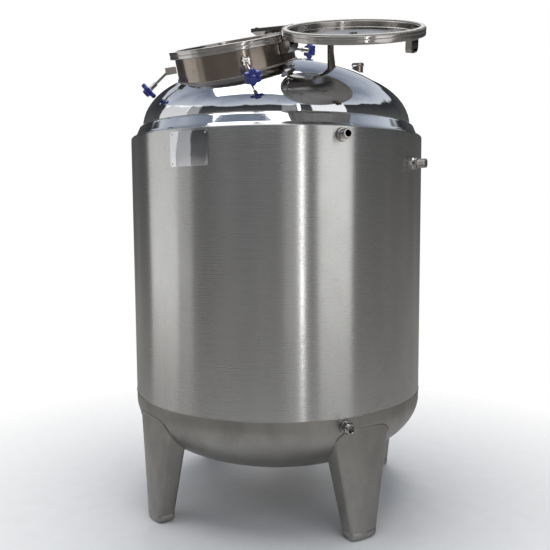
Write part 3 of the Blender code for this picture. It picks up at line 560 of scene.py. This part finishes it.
def add_cladding():
    inner = OUTER_RADIUS - SHEET
    straight = CLADDING_TOP - EDGE_ROLL - CLADDING_BOTTOM
    outline = [(inner, CLADDING_BOTTOM)]
    outline += [(OUTER_RADIUS, CLADDING_BOTTOM + straight * i / 24) for i in range(25)]
    for i in range(1, 9):
        angle = pi / 2 * i / 8
        outline.append((OUTER_RADIUS - EDGE_ROLL + EDGE_ROLL * cos(angle),
                        CLADDING_TOP - EDGE_ROLL + EDGE_ROLL * sin(angle)))
    outline += [(inner - EDGE_ROLL, CLADDING_TOP - SHEET), (inner, CLADDING_TOP - EDGE_ROLL)]
    cladding = piece("cladding", turned(outline, True), TANK, CLADDING, "tank",
                     ["outer_shell"])
    cut(cladding, [socket_plug("upper_socket"), socket_plug("side_socket")])


def add_shoulder():
    foot = OUTER_RADIUS - EDGE_ROLL
    top = DOME_BASE + 0.0006
    slope = [(foot + 0.001, CLADDING_TOP - 0.004), (foot, CLADDING_TOP + 0.001),
             (foot - 0.008, CLADDING_TOP + 0.004), (VESSEL_RADIUS + 0.013, top - 0.003),
             (VESSEL_RADIUS + 0.003, top + 0.0008), (VESSEL_RADIUS - 0.003, top + 0.0005)]
    piece("shoulder", turned(rounded(slope, 0.006)), TANK, MIRROR, "tank",
          ["shoulder_ring"])


def add_dome():
    outer = head_arc(VESSEL_RADIUS, DOME_HEIGHT, DOME_BASE, 1)
    inside = head_arc(VESSEL_RADIUS - HEAD_SHEET, DOME_HEIGHT - HEAD_SHEET, DOME_BASE, 1, 20)
    dome = piece("dome", turned(list(reversed(inside)) + outer), TANK, MIRROR,
                 "tank", ["top_head"])
    cut(dome, [(plug(NECK_BORE, -0.15, 0.15, RINGS), MANWAY),
               (plug(SEAT_CUT, 1.5, 1.8, 48), upright("agitator_seat")),
               (plug(INLET_CUT, 1.5, 1.8, 32), upright("cleaning_inlet"))])


def add_bottom():
    outer = head_arc(OUTER_RADIUS, DISH_DEPTH, DISH_BASE, -1)
    edge = CLADDING_BOTTOM - 0.001
    skirt = [(OUTER_RADIUS - SHEET, edge), (OUTER_RADIUS, edge)]
    dish = piece("bottom_head", turned(skirt + outer), TANK, MATTE, "tank",
                 ["outer_bottom_head"])
    cut(dish, [(plug(DRAIN_CUT, 0.0, 0.3, 48), TANK), socket_plug("lower_socket")])


def add_shell_welds():
    bm = bmesh.new()
    for radius, height, size in ((OUTER_RADIUS - 0.0004, CLADDING_BOTTOM, 0.0018),
                                 (VESSEL_RADIUS + 0.0022, DOME_BASE + 0.0016, 0.0024)):
        path = [polar(radius, 360 * i / BEAD_POINTS, height) for i in range(BEAD_POINTS)]
        bead(bm, path, size)
    piece("shell_welds", bm, TANK, WELD, "tank", [])


# ---------------------------------------------------------------- legs

def leg_section(size, height, inset=0.0):
    """D-shaped section of a leg: flat back and sides, full round towards the outside."""
    inner, width = size
    flat = inner + (LEG_OUTER_RADIUS - inner) * LEG_FLAT_SHARE
    half = width / 2 - inset
    reach = LEG_OUTER_RADIUS - inset - flat
    back = inner + inset
    soft = LEG_CORNER
    points = []
    for i in range(7):
        angle = pi / 2 * i / 6
        points.append(Vector((half - soft + soft * sin(angle), -back - soft + soft * cos(angle), height)))
    for i in range(25):
        angle = pi * i / 24
        points.append(Vector((half * cos(angle), -flat - reach * sin(angle) ** 0.75, height)))
    for i in range(7):
        angle = pi / 2 * i / 6
        points.append(Vector((-half + soft - soft * cos(angle), -back - soft + soft * sin(angle), height)))
    for i in range(1, 6):
        points.append(Vector((-half + soft + (2 * half - 2 * soft) * i / 6, -back, height)))
    return points


def leg_size(height):
    """Inner radius and width of a leg at a height."""
    share = (height - FOOT_HEIGHT) / (LEG_TOP - FOOT_HEIGHT)
    return tuple(low + (high - low) * share for low, high in zip(LEG_BOTTOM_SIZE, LEG_TOP_SIZE))


def where_it_meets(low, high):
    """Share of the way up a leg's line where it reaches the bottom head."""
    below, above = 0.0, 1.0
    for _ in range(30):
        middle = (below + above) / 2
        point = low.lerp(high, middle)
        if point.z > dish_height(sqrt(point.x ** 2 + point.y ** 2)):
            above = middle
        else:
            below = middle
    return below


def leg_path(loop, spacing=0.0015):
    """Closed path of even, close points along a loop."""
    path = []
    for first, second in zip(loop, loop[1:] + loop[:1]):
        parts = max(1, int((second - first).length / spacing))
        path += [first.lerp(second, k / parts) for k in range(parts)]
    return path


def add_foot(name, matrix):
    """Cap with a rounded sole."""
    size = leg_size(FOOT_HEIGHT)
    loops = []
    for i in range(7):
        angle = pi / 2 * i / 6
        loops.append(leg_section(size, FOOT_ROUND * (1 - cos(angle)), FOOT_ROUND * (1 - sin(angle))))
    loops += [leg_section(size, FOOT_HEIGHT - FOOT_EDGE), leg_section(size, FOOT_HEIGHT, FOOT_EDGE)]
    bm = bmesh.new()
    add_loft(bm, loops, cap_start=True, cap_end=True)
    piece("foot_cap_" + name, bm, matrix, MATTE, "tank", ["foot_" + name], 50)


def add_legs():
    """Tapered legs that run up into the bottom head, each with its weld and foot."""
    low = leg_section(leg_size(FOOT_HEIGHT), FOOT_HEIGHT + 0.0003)
    high = leg_section(leg_size(LEG_TOP), LEG_TOP)
    shares = [where_it_meets(a, b) for a, b in zip(low, high)]
    for name, azimuth in LEG_AZIMUTHS.items():
        matrix = TANK @ Matrix.Rotation(radians(azimuth), 4, "Z")
        loops = []
        for i in range(LEG_LEVELS + 1):
            up = i / LEG_LEVELS
            loops.append([a.lerp(b, share * up) for a, b, share in zip(low, high, shares)])
        bm = bmesh.new()
        add_loft(bm, loops, cap_start=True)
        piece("leg_sheet_" + name, bm, matrix, MATTE, "tank", ["leg_" + name], 50)
        bm = bmesh.new()
        bead(bm, leg_path(loops[-1]), LEG_BEAD, 0.16)
        piece("leg_weld_" + name, bm, matrix, WELD, "tank", [])
        add_foot(name, matrix)


# ---------------------------------------------------------------- manway

def dome_drop(x, y):
    """Height in the manway's frame where a line along its axis meets the dome."""
    below, above = -0.15, 0.05
    for _ in range(40):
        middle = (below + above) / 2
        point = MANWAY @ Vector((x, y, middle)) - AXIS
        if point.z > dome_height(sqrt(point.x ** 2 + point.y ** 2)):
            above = middle
        else:
            below = middle
    return below


def neck_loop(radius, feet, sink, share, top):
    """Closed loop round the neck, a share of the way from its foot to its top."""
    loop = []
    for i, foot in enumerate(feet):
        angle = 2 * pi * i / len(feet)
        height = foot - sink + (top - foot + sink) * share
        loop.append(Vector((radius * cos(angle), radius * sin(angle), height)))
    return loop


def add_neck():
    feet = [dome_drop(NECK_RADIUS * cos(2 * pi * i / RINGS), NECK_RADIUS * sin(2 * pi * i / RINGS))
            for i in range(RINGS)]
    top = NECK_TOP - 0.0003
    shares = [k / NECK_LEVELS for k in range(NECK_LEVELS + 1)]
    loops = [neck_loop(NECK_RADIUS, feet, 0.003, share, top) for share in shares]
    loops += [neck_loop(NECK_BORE, feet, 0.006, 1 - share, top) for share in shares]
    bm = bmesh.new()
    add_loft(bm, loops, ring=True)
    piece("neck", bm, MANWAY, BRUSHED, "tank", ["manway_neck"])

    path = round_loop(NECK_RADIUS, 0, 900)
    for point in path:
        point.z = dome_drop(point.x, point.y)
    bm = bmesh.new()
    bead(bm, path, NECK_BEAD, 0.14, flatten=0.8)
    piece("neck_weld", bm, MANWAY, WELD, "tank", [])


def add_rim():
    groove = RIM_RADIUS - RIM_EDGE
    rim = [(NECK_BORE, NECK_TOP), (RIM_RADIUS, NECK_TOP), (RIM_RADIUS, NECK_TOP + 0.011),
           (groove, NECK_TOP + 0.0118), (groove, NECK_TOP + 0.0135),
           (RIM_RADIUS, NECK_TOP + 0.0143), (RIM_RADIUS, LID_SEAT), (NECK_BORE, LID_SEAT),
           (NECK_BORE, NECK_TOP)]
    piece("rim", turned(rounded(rim, 0.0028)), MANWAY, RIM_STEEL, "tank",
          ["manway_rim"])


def add_lid():
    """The lid and its seal, in the tank's frame."""
    band = LID_RADIUS - LID_BAND_WIDTH
    skin = LID_TOP - LID_SHEET
    lid = [(LID_HOLE, LID_TOP), (LID_RADIUS - 0.034, LID_TOP), (LID_RADIUS - 0.030, LID_TOP - 0.0012),
           (LID_RADIUS - 0.026, LID_TOP), (LID_RADIUS, LID_TOP), (LID_RADIUS, LID_BOTTOM + 0.0105),
           (LID_RADIUS - 0.001, LID_BOTTOM + 0.0095), (LID_RADIUS, LID_BOTTOM + 0.0085),
           (LID_RADIUS, LID_BOTTOM), (band, LID_BOTTOM), (band, skin), (LID_HOLE, skin),
           (LID_HOLE, LID_TOP)]
    bm = turned(rounded(lid, 0.0026))
    bm.transform(LID)
    piece("lid", bm, Matrix(), LID_STEEL, "lid", ["manway_lid"])
    low, high = LID_SEAT + SEAL_GAP, LID_BOTTOM - SEAL_GAP
    seal = [(SEAL_INNER_RADIUS, low), (SEAL_OUTER_RADIUS, low), (SEAL_OUTER_RADIUS, high),
            (SEAL_INNER_RADIUS, high), (SEAL_INNER_RADIUS, low)]
    bm = turned(rounded(seal, 0.0015))
    bm.transform(LID)
    piece("gasket", bm, Matrix(), RUBBER, "lid", ["lid_gasket"])


# ---------------------------------------------------------------- swing bolts

def threaded(radius, start, end, depth, pitch):
    """Outline of a thread, as rings."""
    turns = int((end - start) / pitch)
    points = []
    for i in range(turns):
        points.append((radius, start + i * pitch))
        points.append((radius - depth, start + (i + 0.5) * pitch))
    return points


def knob_loop(scale, height, count=120):
    """Star outline of a knob."""
    middle = (KNOB_RADIUS + KNOB_VALLEY) / 2
    swing = (KNOB_RADIUS - KNOB_VALLEY) / 2
    loop = []
    for i in range(count):
        angle = 2 * pi * i / count
        radius = (middle + swing * cos(KNOB_LOBES * angle)) * scale
        loop.append(Vector((radius * cos(angle), radius * sin(angle), height)))
    return loop


def round_loop(radius, height, count=120):
    """Circle of points, by default as many as a knob's star has."""
    return [Vector((radius * cos(2 * pi * i / count), radius * sin(2 * pi * i / count), height))
            for i in range(count)]


def add_sleeve(name, swing):
    bore = ROD_RADIUS + ROD_GAP
    end = KNOB_START - KNOB_GAP
    sleeve = [(bore, SLEEVE_START), (SLEEVE_RADIUS, SLEEVE_START)]
    sleeve += threaded(SLEEVE_RADIUS, SLEEVE_START + 0.001, KNOB_START - 0.002, 0.0007, 0.0018)
    sleeve += [(SLEEVE_RADIUS, end), (bore, end)]
    piece("sleeve_" + name, turned(sleeve, True, 40), swing, MACHINED,
          "knob_" + name, ["knob_sleeve_" + name])


def add_knob(name, swing):
    """Star grip with rounded edges and a stepped hub."""
    low = KNOB_START
    top = low + KNOB_HEIGHT
    profile = [(0.30, low), (0.84, low), (0.93, low + 0.0008), (0.98, low + 0.0026),
               (1.0, low + 0.0050), (1.0, top - 0.0050), (0.98, top - 0.0026),
               (0.93, top - 0.0008), (0.84, top), (0.66, top + 0.0002)]
    hub = [(0.0150, top + 0.0010), (0.0138, top + 0.0022), (0.0135, top + 0.0080),
           (0.0128, top + 0.0098), (0.0112, top + 0.0108), (0.0080, top + 0.0110),
           (0.0072, top + 0.0102), (0.0030, top + 0.0098)]
    loops = [knob_loop(scale, height) for scale, height in profile]
    loops += [round_loop(radius, height) for radius, height in hub]
    bm = bmesh.new()
    add_loft(bm, loops, cap_start=True, cap_end=True)
    piece("knob_" + name + "_grip", bm, swing, BLUE, "knob_" + name,
          ["star_knob_" + name], 60)


def add_bolts():
    for name, (from_hinge, drop) in SWING_BOLTS.items():
        swing = (station(HINGE_LOCAL_ANGLE + from_hinge, HINGE_RADIUS, BOLT_PIVOT_HEIGHT)
                 @ Matrix.Rotation(radians(90 + drop), 4, "Y"))
        softened("bolt_lug_" + name, MACHINED, 0.0008)
        softened("lug_pin_" + name, MACHINED, 0.0005)
        softened("eye_bolt_" + name, MACHINED, 0.0004)
        add_sleeve(name, swing)
        add_knob(name, swing)


# ---------------------------------------------------------------- fittings

def add_nut(bm, start):
    """Hexagon behind the lower socket's thread."""
    corner = NUT_ACROSS_FLATS / 2 / cos(pi / 6)
    loops = []
    for shift, scale in ((0, 0.93), (0.0014, 1.0), (0.0126, 1.0), (0.014, 0.93)):
        loops.append([Vector((corner * scale * cos(pi / 3 * i), corner * scale * sin(pi / 3 * i),
                              start + shift)) for i in range(6)])
    add_loft(bm, loops, cap_start=True, cap_end=False)


def add_sockets():
    for name in SOCKETS:
        face = OUTER_RADIUS + SOCKET_REACH
        collar = OUTER_RADIUS + 0.002
        outline = [(SOCKET_BORE, face - SOCKET_LENGTH), (SOCKET_RADIUS, face - SOCKET_LENGTH),
                   (SOCKET_RADIUS, collar - 0.003), (SOCKET_COLLAR + 0.002, collar - 0.003),
                   (SOCKET_COLLAR, collar + 0.002), (SOCKET_COLLAR, collar + 0.012),
                   (SOCKET_RADIUS - 0.001, collar + 0.0122)]
        outline = rounded(outline, 0.0012)
        outline += threaded(SOCKET_RADIUS, collar + 0.0132, face - 0.002, 0.0011, 0.0023)
        outline += [(SOCKET_RADIUS - 0.0004, face - 0.0012), (SOCKET_RADIUS - 0.0018, face),
                    (SOCKET_BORE + 0.001, face), (SOCKET_BORE, face - 0.0012)]
        bm = turned(outline, True, 64)
        if name == "lower_socket":
            add_nut(bm, OUTER_RADIUS + NUT_START)
        piece(name + "_body", bm, socket_matrix(name), MACHINED, "tank", [name])


def plate_trim(edge):
    """How far a rounded corner cuts into the plate's height, at a distance from its side."""
    if edge >= PLATE_CORNER:
        return 0.0
    return PLATE_CORNER - sqrt(max(0.0, PLATE_CORNER ** 2 - (PLATE_CORNER - edge) ** 2))


def add_plate():
    """Blank plate bent round the cladding, on four rivets."""
    bm = bmesh.new()
    across = 24
    near = OUTER_RADIUS + 0.0003
    face = near + PLATE_SHEET
    loops = []
    for i in range(across + 1):
        azimuth = PLATE_AZIMUTH + PLATE_SPAN * (i / across - 0.5)
        trim = plate_trim(min(i, across - i) * OUTER_RADIUS * radians(PLATE_SPAN) / across)
        low = PLATE_BOTTOM + trim
        high = PLATE_BOTTOM + PLATE_HEIGHT - trim
        loops.append([polar(near, azimuth, low), polar(near + PLATE_EDGE, azimuth, low),
                      polar(face, azimuth, low + 0.0012), polar(face, azimuth, high - 0.0012),
                      polar(near + PLATE_EDGE, azimuth, high), polar(near, azimuth, high)])
    add_loft(bm, loops, cap_start=True, cap_end=True)
    head = [(0.0032, 0.0), (0.0030, 0.0008), (0.0020, 0.0015), (0.0, 0.0018)]
    for side in (-1, 1):
        for height in (PLATE_BOTTOM + RIVET_INSET, PLATE_BOTTOM + PLATE_HEIGHT - RIVET_INSET):
            azimuth = PLATE_AZIMUTH + side * (PLATE_SPAN / 2 - RIVET_TURN)
            rivet = aim(polar(near + 0.0012, azimuth, height), polar(1, azimuth))
            add_turned(bm, head, segments=20, matrix=rivet)
    piece("plate", bm, TANK, PLATE, "tank", ["name_plate"])


def add_seat():
    low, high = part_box("agitator_seat")
    radius = (high.x - low.x) / 2
    outline = [(radius - 0.004, low.z - 0.002), (radius, low.z - 0.002), (radius, high.z - 0.009),
               (radius + 0.006, high.z - 0.006), (radius + 0.006, high.z), (radius - 0.004, high.z)]
    piece("seat_pipe", turned(rounded(outline, 0.002), True, 96), upright("agitator_seat"),
          BRUSHED, "tank", ["agitator_seat"])
    softened("seat_cover_plate", RIM_STEEL, 0.0016, 3)


def add_inlet():
    low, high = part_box("cleaning_inlet")
    lip = (high.x - low.x) / 2
    pipe = lip - 0.003
    bore = pipe - 0.003
    outline = [(bore, low.z), (pipe, low.z), (pipe, high.z - 0.013), (lip, high.z - 0.0095),
               (lip, high.z - 0.0035), (lip - 0.001, high.z), (bore + 0.001, high.z),
               (bore, high.z - 0.001)]
    piece("inlet_pipe", turned(rounded(outline, 0.0012), True, 64), upright("cleaning_inlet"),
          MACHINED, "tank", ["cleaning_inlet"])


def add_hardware():
    """Pieces whose own shape is right, and the hidden ones that keep it."""
    eased = (("hinge_bracket", MACHINED, "machined_steel", 0.0012),
             ("hinge_arm", MACHINED, "machined_steel", 0.0016),
             ("arm_bolt", MACHINED, "machined_steel", 0.0008),
             ("hinge_pin", MACHINED, "machined_steel", 0.0008),
             ("handle_strap", MACHINED, "machined_steel", 0.0010),
             ("handle_grip", BLACK, "black_plastic", 0.0010),
             ("lid_rest", MACHINED, "machined_steel", 0.0010),
             ("outlet_pipe", BRUSHED, "brushed_steel", 0.0006),
             ("valve_body", MACHINED, "machined_steel", 0.0012),
             ("valve_disc", MACHINED, "machined_steel", 0.0006),
             ("valve_lever", BLACK, "black_plastic", 0.0014))
    for node, look, slot, width in eased:
        softened(node, look, width)
    kept = {"inner_wall": BRUSHED, "inner_bottom_head": BRUSHED, "cooling_jacket": BRUSHED,
            "wall_insulation": FOAM, "base_insulation": FOAM, "spray_ball": MACHINED}
    for node, look in kept.items():
        mesh = NODES[node].data
        mesh.materials.clear()
        mesh.materials.append(look)


# ---------------------------------------------------------------- surroundings

def add_floor():
    """Pale disc that thins out to nothing, so that it has no far edge."""
    bm = bmesh.new()
    add_turned(bm, [(0, 0), (0.4, 0), (1.0, 0), (2.0, 0), (4.5, 0)], segments=64)
    mesh = bpy.data.meshes.new("floor")
    bm.to_mesh(mesh)
    bm.free()
    floor = bpy.data.objects.new("floor", mesh)
    bpy.context.scene.collection.objects.link(floor)
    floor.location = (0, 0, -0.0005)
    new, nodes = material("floor_paint", 0.0)
    speckle = nodes.noise((12, 12, 12), 4.0, 0.6)
    paint = nodes.mix(nodes.remap(speckle, 0, 1), (0.86, 0.86, 0.86), (0.82, 0.82, 0.815))
    nodes.link(paint, nodes.shader.inputs["Base Color"])
    nodes.link(nodes.remap(speckle, 0.55, 0.7), nodes.shader.inputs["Roughness"])
    distance = nodes.add("ShaderNodeVectorMath", operation="LENGTH")
    nodes.link(nodes.place, distance.inputs[0])
    fade = nodes.remap(distance.outputs["Value"], 0.0, 1.0, 0.55, 1.9)
    clear = nodes.add("ShaderNodeBsdfTransparent")
    blend = nodes.add("ShaderNodeMixShader")
    nodes.link(fade, blend.inputs[0])
    nodes.link(nodes.shader.outputs[0], blend.inputs[1])
    nodes.link(clear.outputs[0], blend.inputs[2])
    nodes.link(blend.outputs[0], nodes.tree.nodes["Material Output"].inputs["Surface"])
    mesh.materials.append(new)


def softbox(name, azimuth, distance, height, width, tall, radiance, colour=(1, 1, 1)):
    """Area light that faces the tank's middle; radiance is how bright its face is."""
    light = bpy.data.lights.new(name, "AREA")
    light.shape = "RECTANGLE"
    light.size = width
    light.size_y = tall
    light.energy = radiance * pi * width * tall
    light.color = colour
    lamp = bpy.data.objects.new(name, light)
    bpy.context.scene.collection.objects.link(lamp)
    place = AXIS + polar(distance, azimuth, height)
    look = AXIS + Vector((0, 0, min(height, 1.0))) - place
    lamp.matrix_world = Matrix.Translation(place) @ look.to_track_quat("-Z", "Y").to_matrix().to_4x4()
    lamp.visible_camera = False


def add_lights():
    softbox("box_left", -90, 3.2, 1.5, 1.9, 3.0, 0.78)
    softbox("left_edge", -67, 3.2, 1.5, 0.67, 3.0, 0.36)
    softbox("strip_glow", 9.5, 3.4, 1.5, 0.6, 3.0, 0.26)
    softbox("box_right", 41, 3.4, 1.6, 1.6, 3.0, 1.05)
    softbox("strip", 17.0, 3.4, 1.5, 0.08, 3.0, 8.5)
    softbox("overhead", -20, 0.4, 4.4, 3.4, 3.4, 3.0, (1.0, 0.99, 0.97))
    softbox("back", 180, 3.6, 2.2, 3.0, 2.4, 1.4)


def add_world():
    """Pale behind the tank; for the steel, a room with a dark skyline under a grey sky."""
    world = bpy.data.worlds.new("studio")
    world.use_nodes = True
    tree = world.node_tree
    tree.nodes.clear()
    place = tree.nodes.new("ShaderNodeTexCoord")
    split = tree.nodes.new("ShaderNodeSeparateXYZ")
    tree.links.new(place.outputs["Generated"], split.inputs[0])
    ramp = tree.nodes.new("ShaderNodeValToRGB")
    shift = tree.nodes.new("ShaderNodeMapRange")
    shift.inputs["From Min"].default_value = -1.0
    shift.inputs["From Max"].default_value = 1.0
    roofs = tree.nodes.new("ShaderNodeTexNoise")
    roofs.inputs["Scale"].default_value = 3.0
    tree.links.new(place.outputs["Generated"], roofs.inputs["Vector"])
    scaled = tree.nodes.new("ShaderNodeMath")
    scaled.operation = "MULTIPLY_ADD"
    scaled.inputs[1].default_value = 0.30
    tree.links.new(roofs.outputs["Fac"], scaled.inputs[0])
    tree.links.new(split.outputs["Z"], scaled.inputs[2])
    tree.links.new(scaled.outputs[0], shift.inputs["Value"])
    tree.links.new(shift.outputs[0], ramp.inputs[0])
    stops = ((0.0, (0.42, 0.42, 0.42)), (0.50, (0.30, 0.29, 0.28)), (0.565, (0.13, 0.13, 0.13)),
             (0.80, (0.030, 0.032, 0.036)), (0.812, (0.66, 0.70, 0.75)), (0.90, (0.42, 0.46, 0.54)),
             (1.0, (0.17, 0.20, 0.26)))
    colours = ramp.color_ramp.elements
    while len(colours) < len(stops):
        colours.new(0.5)
    for element, (at, colour) in zip(colours, stops):
        element.position = at
        element.color = (*colour, 1.0)
    room = tree.nodes.new("ShaderNodeBackground")
    tree.links.new(ramp.outputs[0], room.inputs["Color"])
    backdrop = tree.nodes.new("ShaderNodeBackground")
    backdrop.inputs["Color"].default_value = (1.0, 1.0, 1.0, 1.0)
    seen = tree.nodes.new("ShaderNodeLightPath")
    blend = tree.nodes.new("ShaderNodeMixShader")
    tree.links.new(seen.outputs["Is Camera Ray"], blend.inputs[0])
    tree.links.new(room.outputs[0], blend.inputs[1])
    tree.links.new(backdrop.outputs[0], blend.inputs[2])
    output = tree.nodes.new("ShaderNodeOutputWorld")
    tree.links.new(blend.outputs[0], output.inputs["Surface"])
    bpy.context.scene.world = world


def add_camera():
    """Level with the upper cladding, in front of the tank and looking slightly down."""
    yaw, pitch, roll = -0.003, 0.094, -0.006
    forward = Vector((sin(yaw) * cos(pitch), cos(yaw) * cos(pitch), -sin(pitch)))
    right = Vector((cos(yaw), -sin(yaw), 0))
    up = right.cross(forward)
    turned_right = right * cos(roll) + up * sin(roll)
    turned_up = up * cos(roll) - right * sin(roll)
    matrix = Matrix((turned_right, turned_up, -forward)).transposed().to_4x4()
    matrix.translation = AXIS + Vector((0, -CAMERA_DISTANCE, CAMERA_HEIGHT))
    camera = bpy.data.cameras.new("camera")
    camera.sensor_width = SENSOR_MILLIMETRES
    camera.lens = LENS_MILLIMETRES
    holder = bpy.data.objects.new("camera", camera)
    bpy.context.scene.collection.objects.link(holder)
    holder.matrix_world = matrix
    bpy.context.scene.camera = holder
    bpy.context.scene.view_settings.view_transform = "Standard"


add_cladding()
add_shoulder()
add_dome()
add_bottom()
add_shell_welds()
add_legs()
add_neck()
add_rim()
add_lid()
add_bolts()
add_sockets()
add_plate()
add_seat()
add_inlet()
add_hardware()
add_floor()
add_lights()
add_world()
add_camera()
